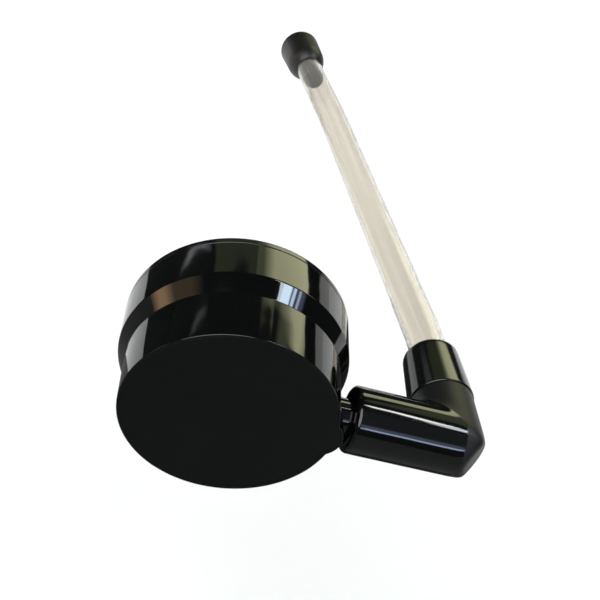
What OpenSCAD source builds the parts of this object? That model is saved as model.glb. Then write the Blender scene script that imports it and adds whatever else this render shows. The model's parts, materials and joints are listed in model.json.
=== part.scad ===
// Lever-operated diaphragm bilge pump with a flat bonding base.
// The origin is the middle of the mounting face. +Y runs into the body, +X runs
// along the drive shaft to the lever hub, and +Z is up. Sizes are millimetres.

/* [Body] */
// Diameter of the body at its mounting face
base_d = 110; // [108:0.5:112]
// Diameter of the crank case where the step begins
case_d = 111.8; // [110:0.1:113]
// Diameter just past the step
step_d = 120.8; // [119.5:0.1:121.4]
// Diameter of the rear rim
rim_d = 121.4; // [121.4:0.1:123]
// Depth at which the step begins
step_start = 29.5; // [28:0.5:31]
// Depth at which the step ends
step_end = 39.3; // [38:0.1:40]
// Depth of the whole body, rear cover flange included
body_depth = 67.6; // [67.6:0.1:70]
// Thickness of the rear cover's flange
flange_t = 4.4; // [4:0.1:4.4]
// Thickness of the rubber base pad
pad_t = 1.6; // [1.2:0.1:2]

/* [Drive] */
// Height of the drive shaft above the mounting face
shaft_y = 18.5; // [18.5:0.1:19]
// Radius of the drive shaft
shaft_r = 6; // [5.5:0.1:6]
// Throw of the crank pin
crank_e = 13; // [12:0.5:13]
// Distance from the body's axis to the mouth of the lever hub
hub_mouth_x = 62.5; // [62:0.5:64]
// Distance from the body's axis to the lever's axis
corner_x = 120.6; // [116:0.1:126]
// Radius of the lever hub's barrel and leg
hub_r = 17.9; // [17.6:0.1:18]

/* [Handle] */
// Angle of the handle at rest, turned about the drive shaft
handle_set = -3; // [-6:0.1:6]
// Lean of the lever hub's leg towards the body
leg_lean = 2.4; // [0:0.1:6]
// Outer radius of the handle tube
tube_r = 11.25; // [11:0.05:11.25]
// Wall of the handle tube
tube_wall = 2; // [1.5:0.1:3]
// Crank of the handle tube just above its boot
tube_bend = 7.7; // [4:0.1:12]
// Straight length of the handle between its two bends
handle_middle = 266; // [200:0.5:320]
// Slight crank of the handle tube below its grip
top_bend = 2.1; // [1:0.1:4]
// Straight length of the handle beyond its upper bend
handle_reach = 126.5; // [100:0.5:150]
// Radius of the grip's open end
grip_r = 17.8; // [17:0.1:18.8]

/* [Hidden] */
$fn = 96;
small_fn = 48;
over = 1;              // how far a cutter runs past the face it opens
fit_gap = 0.02;        // radial gap of parts fixed together
run_gap = 0.04;        // radial gap of a turning or sliding fit
snug_gap = 0.05;       // gap of a rubber piece from what it sits on
seal_gap = 0.1;        // radial gap of a seal or plate in its seat
drop_gap = 0.2;        // radial gap of a piece dropped into a bore
end_gap = 0.5;         // clearance past the end of a piece
far = 200;             // size of a cutter that takes off everything past a plane

base_r = base_d / 2;
case_r = case_d / 2;
step_r = step_d / 2;
rim_r = rim_d / 2;
flange_y = body_depth - flange_t;

// Base
lip_y = 0.4;           // glossy lip around the pad starts just behind the face
lip_w = 0.7;
edge_round = 0.5;
step_round = [1, 1.5];
ear_x = 45;            // round ear under the neck, flush with the base
ear_r = 14;
wall_y = 4.5;          // inner face of the front wall

// Cavities
crank_room_r = 46;
bead_y = 41;           // shelf that carries the diaphragm's bead
bead_t = 3;
valve_room_r = 52;
chamber_r = 45;
chamber_floor_y = 55.5;
chamber_floor_r = 38;
chamber_wall_h = 4;
cover_round = 1.4;
gasket_r = 54;
gasket_t = 1.3;

// Cover screws
screw_count = 8;
screw_ring_r = 56.4;
screw_r = 1.65;
screw_head_r = 3.4;
screw_head_t = 2.4;
screw_tip_y = 50;
screw_hex_r = 1.5;
screw_hex_depth = 1.4;

// Neck, bushes and seal of the drive shaft
neck_r = 10;
neck_end_x = 73;
neck_root_x = 50;
bush_r = 8;
neck_bush_x = [46.5, 66.5];
seal_r = 8.5;
web_x = [30, 38];
web_r = 10;
web_half_w = 11;

// Crank and yoke
shaft_x = [8, 104];
arm_x = [8, 15];
arm_hub_r = 8.5;
arm_tip_r = 6;
pin_r = 3;
pin_end_x = -7.2;
clip_x = [-6.8, -5.8];
clip_r = 5;
clip_groove = 0.5;
clip_half_slot = 1.2;
roll_pin_r = 1.5;
yoke_half_x = 5;
yoke_half_y = 5.85;
yoke_z = [-20.5, 28.5];
slot_gap = 0.35;
slot_z = [7.2, 16.8];
rod_r = 7;
guide_r = 2.5;
guide_z = [-16, 23.5];
guide_y = [2.6, 24];
guide_pad_y = 5.3;
guide_pad_r = 5;

// Diaphragm stack
plate_r = 25.8;
plate_t = 3;
inner_plate_y = 35.2;
web_t = 1.8;
web_in_r = 26;
roll_rise = 3.2;       // height of the diaphragm's rolled fold
bolt_r = 3;
bolt_head_r = 5.8;
bolt_head_t = 3.6;
washer_r = 7;
washer_t = 0.8;
bolt_tip_y = 28.5;
diaphragm_y = inner_plate_y + plate_t;
outer_plate_y = diaphragm_y + web_t;
washer_y = outer_plate_y + plate_t;

// Ports, flaps and hose tails
port_x = 26;
port_z = -8;
port_r = 7.5;
pocket_r = 13.5;
pocket_y = 74;
turret_r = 18;
turret_y = 80;
flap_r = 9;
flap_t = 1.6;
flap_gap = 0.1;        // clearance of a closed flap from its seat
hinge_up = 9.6;        // hinge height above the port's axis
hinge_back = 2.2;      // hinge distance from the seat
knuckle_r = 2;
knuckle_half = 5;
flap_pin_r = 1.2;
flap_pin_half = 12;
tail_r = 12.7;
tail_bore_r = 9.5;
tail_plug_r = 12;
tail_hex_r = 17;
tail_hex_t = 4;
tail_end_y = 112;
tail_wall_y = 110;
tail_groove = 0.5;     // depth of the hose grooves and of the lead-in
tail_groove_y = [[98, 100], [104, 106]];
ring_r = [12.1, 13.9];
ring_t = 1.3;
rib_count = 8;
rib_r = [17, 51];
rib_w = 2.4;
rib_h = 2.6;

// Lever hub
mouth_bore_r = 12.6;
mouth_depth = 15.5;
mouth_round = 2.6;
socket_h = 22;         // bottom of the handle's socket above the corner
leg_step_h = 28.7;     // shoulder that the boot sits on
leg_top_h = 54.3;
leg_spigot_r = 15.2;
mitre_step = 0.1;      // leg's radius below the barrel's, for a clean edge at the mitre
grub_x = 92;
grub_r = 3;
grub_z = [-15.5, -5.3];
grub_hex_r = 1.7;
grub_hex_depth = 3;
flat_half = 5;         // half length of the flat that the grub screw bears on
heel_cut = 15.6;       // distance of the heel's flat from the hub's corner

// Rubber boot at the foot of the tube
boot_r = 18.6;
boot_shoulder_r = 16.3;
boot_h = 39.5;
boot_cup_h = 25.8;
boot_round = 4.5;
rim_round = 0.6;
boot_neck_round = 0.4;

// Bell-shaped rubber grip at the far end of the tube
grip_waist_r = 16.8;
grip_bell_h = 26.5;    // distance from the open end at which the bell closes in
grip_bell_r = 25;      // radius of the bell's curve
grip_cup_r = 14.6;
grip_cup_h = 25;

// Handle tube
plug_flange_t = 1;
tube_start_h = socket_h + snug_gap + plug_flange_t;
bend_start_h = 70.6;
bend_r = 190;
bend_step = 0.02;      // radius of the bend below the straight parts', for clean edges
tube_bore_r = tube_r - tube_wall;
grip_recess = 1.5;
grip_socket = 12;
grip_spigot = 62;
plug_h = 14;

// Arc of radius r that rounds the corner p between points a and b
function unit(v) = v / norm(v);
function corner_arc(a, p, b, r, n = 5) =
    let (u = unit(a - p), v = unit(b - p),
         half = acos(u * v) / 2,
         centre = p + unit(u + v) * r / sin(half),
         from = p + u * r / tan(half) - centre,
         to = p + v * r / tan(half) - centre,
         start = atan2(from.y, from.x),
         turn = (atan2(to.y, to.x) - start + 540) % 360 - 180)
    [for (i = [0:n]) centre + r * [cos(start + turn * i / n), sin(start + turn * i / n)]];

// Outline given as [x, y, corner radius] points
function rounded(points) =
    let (n = len(points))
    [for (i = [0:n - 1])
        let (p = [points[i].x, points[i].y],
             a = points[(i + n - 1) % n], b = points[(i + 1) % n])
        each points[i].z == 0 ? [p] : corner_arc([a.x, a.y], p, [b.x, b.y], points[i].z)];

// Solid turned about the Y axis from an outline of [radius, y] points
module spin_y() rotate([-90, 0, 0]) rotate_extrude() children();

module rod_y(r, y0, y1) translate([0, y0, 0]) rotate([-90, 0, 0]) cylinder(r = r, h = y1 - y0);

module rod_x(r, x0, x1) translate([x0, 0, 0]) rotate([0, 90, 0]) cylinder(r = r, h = x1 - x0);

module block(x, y, z)
    translate([x[0], y[0], z[0]]) cube([x[1] - x[0], y[1] - y[0], z[1] - z[0]]);

module at_ports(side) translate([side * port_x, 0, port_z]) children();

module around(count, r)
    for (i = [0:count - 1]) rotate([0, (i + 0.5) * 360 / count, 0]) translate([0, 0, r]) children();

// The lever's leg: its own +Z runs up the leg from the hub's corner
module at_leg()
    translate([corner_x, shaft_y, 0]) rotate([handle_set, 0, 0])
        rotate([0, 0, leg_lean]) rotate([-90, 0, 0]) children();

// Past a bend of the handle tube that starts at height h, with +Z along the straight part
module past_bend(h, angle)
    translate([-bend_r, 0, h]) rotate([0, -angle, 0]) translate([bend_r, 0, 0]) children();

module between_bends() past_bend(bend_start_h, tube_bend) children();

module beyond_bends() between_bends() past_bend(handle_middle, top_bend) children();

module base_outline(inset, start) {
    rod_y(base_r - inset, start, pad_t);
    translate([ear_x, 0, 0]) rod_y(ear_r - inset, start, pad_t);
}

module housing_shell() {
    difference() {
        union() {
            spin_y() polygon(rounded([
                [0, lip_y, 0], [base_r, lip_y, edge_round], [case_r, step_start, step_round[0]],
                [step_r, step_end, step_round[1]], [rim_r, flange_y, edge_round],
                [0, flange_y, 0]]));
            translate([ear_x, 0, 0]) rod_y(ear_r, lip_y, shaft_y);
            translate([0, shaft_y, 0]) rod_x(neck_r, neck_root_x, neck_end_x);
        }
        rod_y(crank_room_r, wall_y, bead_y + over);
        rod_y(valve_room_r, bead_y, flange_y + over);
        rod_y(gasket_r, flange_y - gasket_t, flange_y + over);
    }
}

module shaft_web() {
    block(web_x, [wall_y - over, shaft_y], [-web_half_w, web_half_w]);
    translate([0, shaft_y, 0]) rod_x(web_r, web_x[0], web_x[1]);
}

module housing() {
    color("#141515")
    difference() {
        union() {
            housing_shell();
            shaft_web();
            for (z = guide_z) translate([0, 0, z]) rod_y(guide_pad_r, wall_y - over, guide_pad_y);
        }
        base_outline(lip_w, -over);
        translate([0, shaft_y, 0]) {
            rod_x(bush_r + fit_gap, web_x[0] - over, neck_bush_x[1]);
            rod_x(seal_r + fit_gap, neck_bush_x[1], neck_end_x + over);
        }
        for (z = guide_z) translate([0, 0, z]) rod_y(guide_r + fit_gap, guide_y[0], guide_pad_y + over);
        around(screw_count, screw_ring_r) rod_y(screw_r + fit_gap, screw_tip_y, flange_y + over);
    }
}

module base_pad() {
    color("#1c1e1d") base_outline(lip_w + seal_gap, 0);
}

module rear_cover() {
    color("#161717")
    difference() {
        union() {
            spin_y() polygon(rounded([
                [0, flange_y, 0], [rim_r, flange_y, edge_round], [rim_r, body_depth, cover_round],
                [0, body_depth, 0]]));
            for (side = [-1, 1]) at_ports(side) rod_y(turret_r, flange_y, turret_y);
            around(rib_count, 0)
                block([-rib_w / 2, rib_w / 2], [flange_y, body_depth + rib_h], rib_r);
        }
        at_ports(-1) rod_y(port_r, flange_y - over, turret_y);
        at_ports(1) rod_y(pocket_r, flange_y - over, pocket_y);
        for (side = [-1, 1]) at_ports(side)
            rod_y(tail_plug_r + fit_gap, pocket_y - end_gap, turret_y + over);
        at_ports(1) flap_pin(flange_y + hinge_back, fit_gap);
        around(screw_count, screw_ring_r) {
            rod_y(screw_r + drop_gap, flange_y - over, body_depth + over);
            rod_y(screw_head_r + drop_gap, body_depth - screw_head_t, body_depth + over);
        }
    }
}

module cover_gasket() {
    color("#202020")
    difference() {
        rod_y(gasket_r - seal_gap, flange_y - gasket_t, flange_y);
        rod_y(valve_room_r, flange_y - gasket_t - over, flange_y + over);
    }
}

module cover_screws() {
    color("silver")
    around(screw_count, screw_ring_r) difference() {
        union() {
            rod_y(screw_r, screw_tip_y + over, body_depth - screw_head_t);
            rod_y(screw_head_r, body_depth - screw_head_t, body_depth - seal_gap);
        }
        translate([0, body_depth - screw_hex_depth, 0]) rotate([-90, 0, 0])
            cylinder(r = screw_hex_r, h = screw_hex_depth + over, $fn = 6);
    }
}

module valve_body() {
    color("#3a3d3d")
    difference() {
        spin_y() polygon([
            [0, chamber_floor_y], [chamber_floor_r, chamber_floor_y],
            [chamber_r, bead_y + bead_t + chamber_wall_h], [chamber_r, bead_y + bead_t],
            [valve_room_r - drop_gap, bead_y + bead_t], [valve_room_r - drop_gap, flange_y],
            [0, flange_y]]);
        at_ports(1) rod_y(port_r, bead_y, flange_y + over);
        at_ports(-1) rod_y(pocket_r, bead_y + bead_t, flange_y + over);
        at_ports(-1) flap_pin(flange_y - hinge_back, fit_gap);
    }
}

module flap_pin(y, gap)
    translate([0, y, hinge_up]) rod_x(flap_pin_r + gap, -flap_pin_half - gap, flap_pin_half + gap);

// Flap on its seat at y = 0, opening towards +Y
module flap() {
    difference() {
        union() {
            rod_y(flap_r, flap_gap, flap_gap + flap_t);
            block([-knuckle_half, knuckle_half], [flap_gap, flap_gap + flap_t], [0, hinge_up]);
            translate([0, hinge_back, hinge_up]) rod_x(knuckle_r, -knuckle_half, knuckle_half);
        }
        translate([0, hinge_back, hinge_up])
            rod_x(flap_pin_r + run_gap, -knuckle_half - over, knuckle_half + over);
    }
}

module inlet_flap() {
    color("#5a2f28") at_ports(-1) translate([0, flange_y, 0]) mirror([0, 1, 0]) flap();
}

module outlet_flap() {
    color("#5a2f28") at_ports(1) translate([0, flange_y, 0]) flap();
}

module flap_pins() {
    color("silver") {
        at_ports(-1) flap_pin(flange_y - hinge_back, 0);
        at_ports(1) flap_pin(flange_y + hinge_back, 0);
    }
}

module hose_tail() {
    difference() {
        union() {
            rod_y(tail_plug_r, pocket_y, turret_y);
            translate([0, turret_y, 0]) rotate([-90, 0, 0])
                cylinder(r = tail_hex_r, h = tail_hex_t, $fn = 6);
            spin_y() polygon(concat(
                [[0, turret_y], [tail_r, turret_y]],
                [for (g = tail_groove_y) each [
                    [tail_r, g[0]], [tail_r - tail_groove, g[0]],
                    [tail_r - tail_groove, g[1]], [tail_r, g[1]]]],
                [[tail_r, tail_wall_y], [tail_r - tail_groove, tail_end_y], [0, tail_end_y]]));
        }
        rod_y(tail_bore_r, pocket_y - over, tail_end_y + over);
        difference() {
            rod_y(ring_r[1] + seal_gap, turret_y - over, turret_y + ring_t);
            rod_y(ring_r[0] - seal_gap, turret_y - 2 * over, turret_y + ring_t + over);
        }
    }
}

module inlet_tail() {
    color("#2b2d2d") at_ports(-1) hose_tail();
}

module outlet_tail() {
    color("#2b2d2d") at_ports(1) hose_tail();
}

module tail_seals() {
    color("#202020")
    for (side = [-1, 1]) at_ports(side) difference() {
        rod_y(ring_r[1], turret_y, turret_y + ring_t);
        rod_y(ring_r[0], turret_y - over, turret_y + ring_t + over);
    }
}

// Height of the middle of the diaphragm's web, for t from 0 inside to 1 outside
function web_y(t) = diaphragm_y + web_t / 2
    + t * (bead_y + (bead_t - web_t) / 2 - diaphragm_y) + roll_rise * sin(180 * t);

module diaphragm() {
    steps = 12;
    web = [for (i = [0:steps])
        [web_in_r + (crank_room_r - web_in_r) * i / steps, web_y(i / steps)]];
    color("#26211f")
    difference() {
        spin_y() polygon(concat(
            [[0, diaphragm_y]],
            [for (p = web) p - [0, web_t / 2]],
            [[crank_room_r, bead_y], [valve_room_r - drop_gap, bead_y],
             [valve_room_r - drop_gap, bead_y + bead_t], [crank_room_r, bead_y + bead_t]],
            [for (i = [steps:-1:0]) web[i] + [0, web_t / 2]],
            [[0, diaphragm_y + web_t]]));
        rod_y(bolt_r + seal_gap, diaphragm_y - over, outer_plate_y + over);
    }
}

module clamp_plate(y) {
    difference() {
        rod_y(plate_r, y, y + plate_t);
        rod_y(bolt_r + seal_gap, y - over, y + plate_t + over);
    }
}

module inner_plate() {
    color("silver") clamp_plate(inner_plate_y);
}

module outer_plate() {
    color("silver") clamp_plate(outer_plate_y);
}

module centre_washer() {
    color("#202020")
    difference() {
        rod_y(washer_r, washer_y, washer_y + washer_t);
        rod_y(bolt_r + seal_gap, washer_y - over, washer_y + washer_t + over);
    }
}

module centre_bolt() {
    head_y = washer_y + washer_t;
    color("silver") {
        rod_y(bolt_r, bolt_tip_y, head_y + over);
        translate([0, head_y, 0]) rotate([-90, 0, 0])
            cylinder(r = bolt_head_r, h = bolt_head_t, $fn = 6);
    }
}

module yoke() {
    color("#d8d6cc")
    difference() {
        union() {
            block([-yoke_half_x, yoke_half_x], [shaft_y - yoke_half_y, shaft_y + yoke_half_y], yoke_z);
            rod_y(rod_r, shaft_y, inner_plate_y);
        }
        block([-rod_r - over, rod_r + over],
              [shaft_y - pin_r - slot_gap, shaft_y + pin_r + slot_gap], slot_z);
        block([-rod_r - over, -yoke_half_x], [0, shaft_y + yoke_half_y], [-rod_r, rod_r]);
        block([yoke_half_x, rod_r + over], [0, shaft_y + yoke_half_y], [-rod_r, rod_r]);
        for (z = guide_z) translate([0, 0, z]) rod_y(guide_r + run_gap, 0, inner_plate_y);
        rod_y(bolt_r + fit_gap, bolt_tip_y - end_gap, inner_plate_y + over);
    }
}

module guide_pins() {
    color("silver")
    for (z = guide_z) translate([0, 0, z]) rod_y(guide_r, guide_y[0], guide_y[1]);
}

module bush(x) {
    translate([0, shaft_y, 0]) difference() {
        rod_x(bush_r, x[0], x[1]);
        rod_x(shaft_r + run_gap, x[0] - over, x[1] + over);
    }
}

module neck_bush() {
    color("#b08d4f") bush(neck_bush_x);
}

module web_bush() {
    color("#b08d4f") bush(web_x);
}

module shaft_seal() {
    color("#202020")
    translate([0, shaft_y, 0]) difference() {
        rod_x(seal_r, neck_bush_x[1], neck_end_x - end_gap);
        rod_x(shaft_r + run_gap, neck_bush_x[1] - over, neck_end_x);
    }
}

module drive_shaft() {
    color("silver")
    translate([0, shaft_y, 0]) difference() {
        rod_x(shaft_r, shaft_x[0], shaft_x[1]);
        block([grub_x - flat_half, grub_x + flat_half], [-shaft_r, shaft_r],
              [-shaft_r - over, grub_z[1]]);
        roll_pin_solid(fit_gap);
    }
}

module roll_pin_solid(gap)
    translate([(arm_x[0] + arm_x[1]) / 2, 0, 0])
        rod_y(roll_pin_r + gap, -arm_hub_r - gap, arm_hub_r + gap);

module crank_arm() {
    color("silver")
    translate([0, shaft_y, 0]) difference() {
        union() {
            rod_x(arm_hub_r, arm_x[0], arm_x[1]);
            translate([0, 0, crank_e]) rod_x(arm_tip_r, arm_x[0], arm_x[1]);
            block(arm_x, [-arm_tip_r, arm_tip_r], [0, crank_e]);
        }
        rod_x(shaft_r + fit_gap, arm_x[0] - over, arm_x[1] + over);
        translate([0, 0, crank_e]) rod_x(pin_r + fit_gap, arm_x[0] - over, arm_x[1] + over);
        roll_pin_solid(fit_gap);
    }
}

module roll_pin() {
    color("silver") translate([0, shaft_y, 0]) roll_pin_solid(0);
}

module crank_pin() {
    color("silver")
    translate([0, shaft_y, crank_e]) difference() {
        rod_x(pin_r, pin_end_x, arm_x[1]);
        difference() {
            rod_x(pin_r + over, clip_x[0], clip_x[1]);
            rod_x(pin_r - clip_groove, clip_x[0] - over, clip_x[1] + over);
        }
    }
}

module pin_clip() {
    color("silver")
    translate([0, shaft_y, crank_e]) difference() {
        rod_x(clip_r, clip_x[0], clip_x[1]);
        rod_x(pin_r - clip_groove, clip_x[0] - over, clip_x[1] + over);
        block([clip_x[0] - over, clip_x[1] + over], [-clip_half_slot, clip_half_slot],
              [0, clip_r + over]);
    }
}

// Half-space past a plane through the hub's corner, facing the given angle
module half_space(angle, start)
    rotate([0, 0, angle]) translate([start, -far / 2, -far / 2]) cube(far);

module hub_elbow() {
    mitre = 45 + leg_lean / 2;
    difference() {
        union() {
            intersection() {
                rotate([0, 90, 0]) rotate_extrude() polygon(rounded([
                    [0, hub_mouth_x - corner_x, 0],
                    [hub_r, hub_mouth_x - corner_x, mouth_round],
                    [hub_r, 2 * hub_r, 0], [0, 2 * hub_r, 0]]));
                half_space(180 + mitre, 0);
            }
            intersection() {
                rotate([0, 0, leg_lean]) {
                    rod_y(hub_r - mitre_step, -2 * hub_r, leg_step_h);
                    rod_y(leg_spigot_r, 0, leg_top_h);
                }
                half_space(mitre, 0);
            }
        }
        half_space(mitre - 90, heel_cut);
    }
}

module lever_hub() {
    color("#141515")
    difference() {
        translate([corner_x, shaft_y, 0]) rotate([handle_set, 0, 0]) hub_elbow();
        translate([0, shaft_y, 0]) {
            rod_x(mouth_bore_r, hub_mouth_x - over, hub_mouth_x + mouth_depth);
            rod_x(shaft_r + fit_gap, hub_mouth_x, shaft_x[1] + end_gap);
            translate([grub_x, 0, -hub_r - over])
                cylinder(r = grub_r + fit_gap, h = hub_r, $fn = small_fn);
        }
        at_leg() translate([0, 0, socket_h]) cylinder(r = tube_r + run_gap, h = leg_top_h);
    }
}

module hub_screw() {
    color("silver")
    translate([grub_x, shaft_y, 0]) difference() {
        translate([0, 0, grub_z[0]]) cylinder(r = grub_r, h = grub_z[1] - grub_z[0], $fn = small_fn);
        translate([0, 0, grub_z[0] - over])
            cylinder(r = grub_hex_r, h = grub_hex_depth + over, $fn = 6);
    }
}

// Rubber thimble with its wide rim at z = 0 and its shoulder at z = boot_h
module handle_boot() {
    color("#141515") at_leg() translate([0, 0, leg_step_h]) rotate_extrude() polygon(rounded([
        [leg_spigot_r + snug_gap, 0, rim_round], [boot_r, 0, rim_round],
        [boot_shoulder_r, boot_h, boot_round], [tube_r + run_gap, boot_h, boot_neck_round],
        [tube_r + run_gap, boot_cup_h, 0], [leg_spigot_r + snug_gap, boot_cup_h, 0]]));
}

// Bend of a rod that follows the handle tube, starting at height h
module rod_bend(r, h, angle)
    translate([-bend_r, 0, h]) rotate([90, 0, 0])
        rotate_extrude(angle = angle) translate([bend_r, 0]) circle(r = r - bend_step);

// Bent rod that follows the handle tube, between a start and an end cut
module bent_rod(r, start, end) {
    translate([0, 0, start]) cylinder(r = r, h = bend_start_h - start + over);
    rod_bend(r, bend_start_h, tube_bend);
    between_bends() {
        translate([0, 0, -over]) cylinder(r = r, h = handle_middle + 2 * over);
        rod_bend(r, handle_middle, top_bend);
    }
    beyond_bends() translate([0, 0, -over]) cylinder(r = r, h = end + over);
}

module handle_tube() {
    color("#e4e2d2", 0.5)
    at_leg() difference() {
        bent_rod(tube_r, tube_start_h, handle_reach - grip_socket);
        bent_rod(tube_bore_r, tube_start_h - over, handle_reach);
    }
}

module tube_plug() {
    color("#202020")
    at_leg() translate([0, 0, tube_start_h - plug_flange_t]) {
        cylinder(r = tube_r, h = plug_flange_t);
        cylinder(r = tube_bore_r - snug_gap, h = plug_h);
    }
}

module at_grip() at_leg() beyond_bends() translate([0, 0, handle_reach]) mirror([0, 0, 1]) children();

// Curve that closes the grip in from its waist to the tube
function bell_curve(steps = 10) =
    let (taper = atan((grip_r - grip_waist_r) / grip_bell_h),
         centre = [grip_waist_r, grip_bell_h] - grip_bell_r * [cos(taper), sin(taper)],
         end = acos((tube_r + run_gap - centre.x) / grip_bell_r))
    [for (i = [1:steps]) let (a = taper + (end - taper) * i / steps)
        centre + grip_bell_r * [cos(a), sin(a)]];

module handle_grip() {
    color("#141515") at_grip() rotate_extrude() polygon(concat(
        rounded([[grip_cup_r + snug_gap, grip_cup_h, 0], [grip_cup_r + snug_gap, 0, rim_round],
                 [grip_r, 0, rim_round], [grip_waist_r, grip_bell_h, 0]]),
        bell_curve(),
        [[tube_r + run_gap, grip_cup_h]]));
}

module grip_plug() {
    color("#202020")
    at_grip() difference() {
        union() {
            translate([0, 0, grip_recess]) cylinder(r = grip_cup_r, h = grip_cup_h - grip_recess);
            translate([0, 0, grip_recess]) cylinder(r = tube_bore_r - snug_gap, h = grip_spigot);
        }
        translate([0, 0, grip_socket]) difference() {
            cylinder(r = tube_r + fit_gap, h = grip_cup_h);
            cylinder(r = tube_bore_r - snug_gap, h = grip_cup_h);
        }
    }
}

housing();
base_pad();
rear_cover();
cover_gasket();
cover_screws();
valve_body();
inlet_flap();
outlet_flap();
flap_pins();
inlet_tail();
outlet_tail();
tail_seals();
diaphragm();
inner_plate();
outer_plate();
centre_bolt();
centre_washer();
yoke();
guide_pins();
neck_bush();
web_bush();
shaft_seal();
drive_shaft();
crank_arm();
crank_pin();
pin_clip();
roll_pin();
lever_hub();
hub_screw();
handle_boot();
handle_tube();
tube_plug();
handle_grip();
grip_plug();
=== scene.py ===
"""Looks of the lever-operated diaphragm bilge pump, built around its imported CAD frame.

The frame's origin is the middle of the flat mounting face. +Y runs into the body, +X along the
drive shaft to the lever hub, and +Z is up. The pieces' own dimensions are in millimetres, and
the scene is in metres.
"""

import json
import math
from collections import namedtuple

import bmesh
import bpy
from mathutils import Matrix, Vector


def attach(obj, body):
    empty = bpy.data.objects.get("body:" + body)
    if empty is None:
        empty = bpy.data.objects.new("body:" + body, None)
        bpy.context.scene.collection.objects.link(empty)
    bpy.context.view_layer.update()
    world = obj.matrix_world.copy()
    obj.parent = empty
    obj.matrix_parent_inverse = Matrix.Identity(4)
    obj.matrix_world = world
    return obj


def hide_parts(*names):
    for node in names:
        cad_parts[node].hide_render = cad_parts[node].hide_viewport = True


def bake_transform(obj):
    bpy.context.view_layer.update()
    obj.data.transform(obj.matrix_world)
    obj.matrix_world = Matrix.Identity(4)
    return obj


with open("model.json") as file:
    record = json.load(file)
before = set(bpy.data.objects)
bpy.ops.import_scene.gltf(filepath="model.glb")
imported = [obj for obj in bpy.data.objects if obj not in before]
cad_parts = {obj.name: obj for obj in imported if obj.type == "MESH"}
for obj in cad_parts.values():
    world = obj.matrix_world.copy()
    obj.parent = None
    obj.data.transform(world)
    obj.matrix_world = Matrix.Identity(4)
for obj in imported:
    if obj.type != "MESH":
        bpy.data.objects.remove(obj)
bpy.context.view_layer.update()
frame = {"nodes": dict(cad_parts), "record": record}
MM = 0.001

# The lever's line, in millimetres and degrees; its shapes and its looks both follow it
SHAFT_Y, CORNER_X = 18.5, 120.6      # the drive shaft's axis, and where the hub's leg leaves it
HANDLE_SET, LEG_LEAN, TUBE_BEND = -3.0, 2.4, 7.7      # about the shaft; then towards the body

# Camera: fitted to the photo's perspective
CAMERA_AT = Vector((-65.46, -300.99, 322.49)) * MM
CAMERA_AZIMUTH, CAMERA_DOWN, CAMERA_ROLL = (math.radians(a) for a in (14.029, 37.669, 22.978))
CAMERA_LENS, CAMERA_SENSOR = 54.0, 36.0

# Colours, linear
BLACK_GLOSS = (0.0016, 0.0018, 0.0018)
BLACK_MATT = (0.0050, 0.0056, 0.0054)
BLACK_RUBBER = (0.0022, 0.0025, 0.0025)
BLACK_SEAL = (0.012, 0.012, 0.012)
BLACK_NITRILE = (0.018, 0.016, 0.015)
BLACK_GRAINED = (0.010, 0.0105, 0.0105)
DARK_GREY = (0.030, 0.032, 0.032)
RED_RUBBER = (0.12, 0.035, 0.025)
NATURAL_PLASTIC = (0.66, 0.64, 0.58)
STEEL = (0.55, 0.55, 0.54)
ALLOY = (0.60, 0.60, 0.60)
BRONZE = (0.46, 0.29, 0.11)
PALE_TUBE = (0.78, 0.748, 0.69)
DUST = (0.05, 0.05, 0.046)
FLOOR_WHITE = (0.93, 0.93, 0.93)

# Looks, with lengths in metres
PLASTIC_IOR, TUBE_IOR = 1.48, 1.30
CLOUD_BAND, GRAIN_BAND, STREAK_BAND = (0.3, 0.7), (0.2, 0.8), (0.38, 0.62)   # of a noise, spread out
DUST_SPECKS, LINT_SPECKS = (420.0, 0.05), (60.0, 0.018)      # how many per metre, and their share
HAIRLINE, HUB_MARKS, TOOL_MARKS = 1.5e-6, 3e-6, 4e-6         # depths of marks and scratches
SHEET_GRAIN, SPARK_GRAIN, DIMPLES = 1.2e-5, 1.5e-5, 2.5e-5   # depths of grain
CASE_SINK, HUB_SINK = 1.6e-4, 1.2e-4                         # how far the walls are out of true
SATIN_START, SATIN_FADE = 0.0015, (-0.0006, 0.0008)          # past the corner of the hub's axes
HANDLED = (0.15, 0.40)               # stretch of the lever over which its rubber turns satin
DRAW_STRETCH = 80.0                  # draw lines of the tube, length to width


# ---------------------------------------------------------------- materials


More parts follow.
